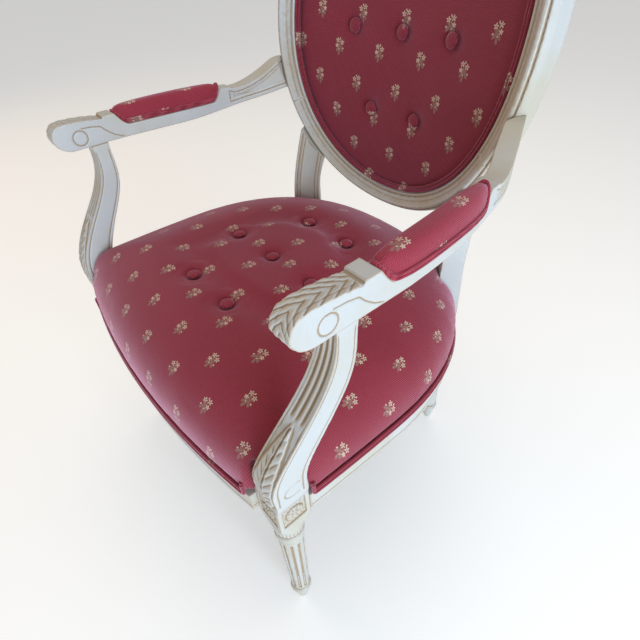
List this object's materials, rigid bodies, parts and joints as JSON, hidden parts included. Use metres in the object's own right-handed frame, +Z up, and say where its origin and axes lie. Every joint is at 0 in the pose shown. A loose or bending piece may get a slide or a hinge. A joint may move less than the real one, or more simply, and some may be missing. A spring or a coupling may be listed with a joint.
{
  "type": "upholstered armchair",
  "caption": "Armchair with a dished oval upholstered back, tufted seat, padded open arms on curved supports and turned fluted legs.",
  "frame": {"origin": "on the floor, under the middle of the chair's box", "axes": "+Z up, the chair faces -Y, +X on the sitter's left"},
  "size_m": [0.6216, 0.6177, 1.033],
  "materials": {
    "bare_beech": "bare beech",
    "black_linen": "thin black linen",
    "crimson_repp": "ribbed crimson weave with small cream flower sprigs",
    "jute_webbing": "woven jute",
    "painted_wood": "off-white paint over beech, brown glaze rubbed into the recesses, worn at edges",
    "steel_hardware": "plain steel",
    "stuffing": "stuffing under calico"
  },
  "bodies": {
    "root": {"arm_left": "painted_wood", "arm_pad_left": "crimson_repp", "arm_pad_right": "crimson_repp", "arm_pad_welt_left": "crimson_repp", "arm_pad_welt_right": "crimson_repp", "arm_right": "painted_wood", "arm_support_left": "painted_wood", "arm_support_right": "painted_wood", "back_base": "painted_wood", "back_buttons": "crimson_repp", "back_cover": "crimson_repp", "back_crest": "painted_wood", "back_pad": "stuffing", "back_side_left": "painted_wood", "back_side_right": "painted_wood", "back_webbing": "jute_webbing", "back_welt": "crimson_repp", "corner_blocks": "bare_beech", "dust_cover": "black_linen", "foot_glides": "steel_hardware", "frame_dowels": "bare_beech", "front_leg_left": "painted_wood", "front_leg_right": "painted_wood", "front_rail": "painted_wood", "outside_back": "crimson_repp", "outside_back_welt": "crimson_repp", "rear_leg_left": "painted_wood", "rear_leg_right": "painted_wood", "rear_rail": "painted_wood", "seat_buttons": "crimson_repp", "seat_cover": "crimson_repp", "seat_pad": "stuffing", "seat_webbing": "jute_webbing", "seat_webbing_cross": "jute_webbing", "seat_welt": "crimson_repp", "side_rail_left": "painted_wood", "side_rail_right": "painted_wood"}
  },
  "joints": []
}
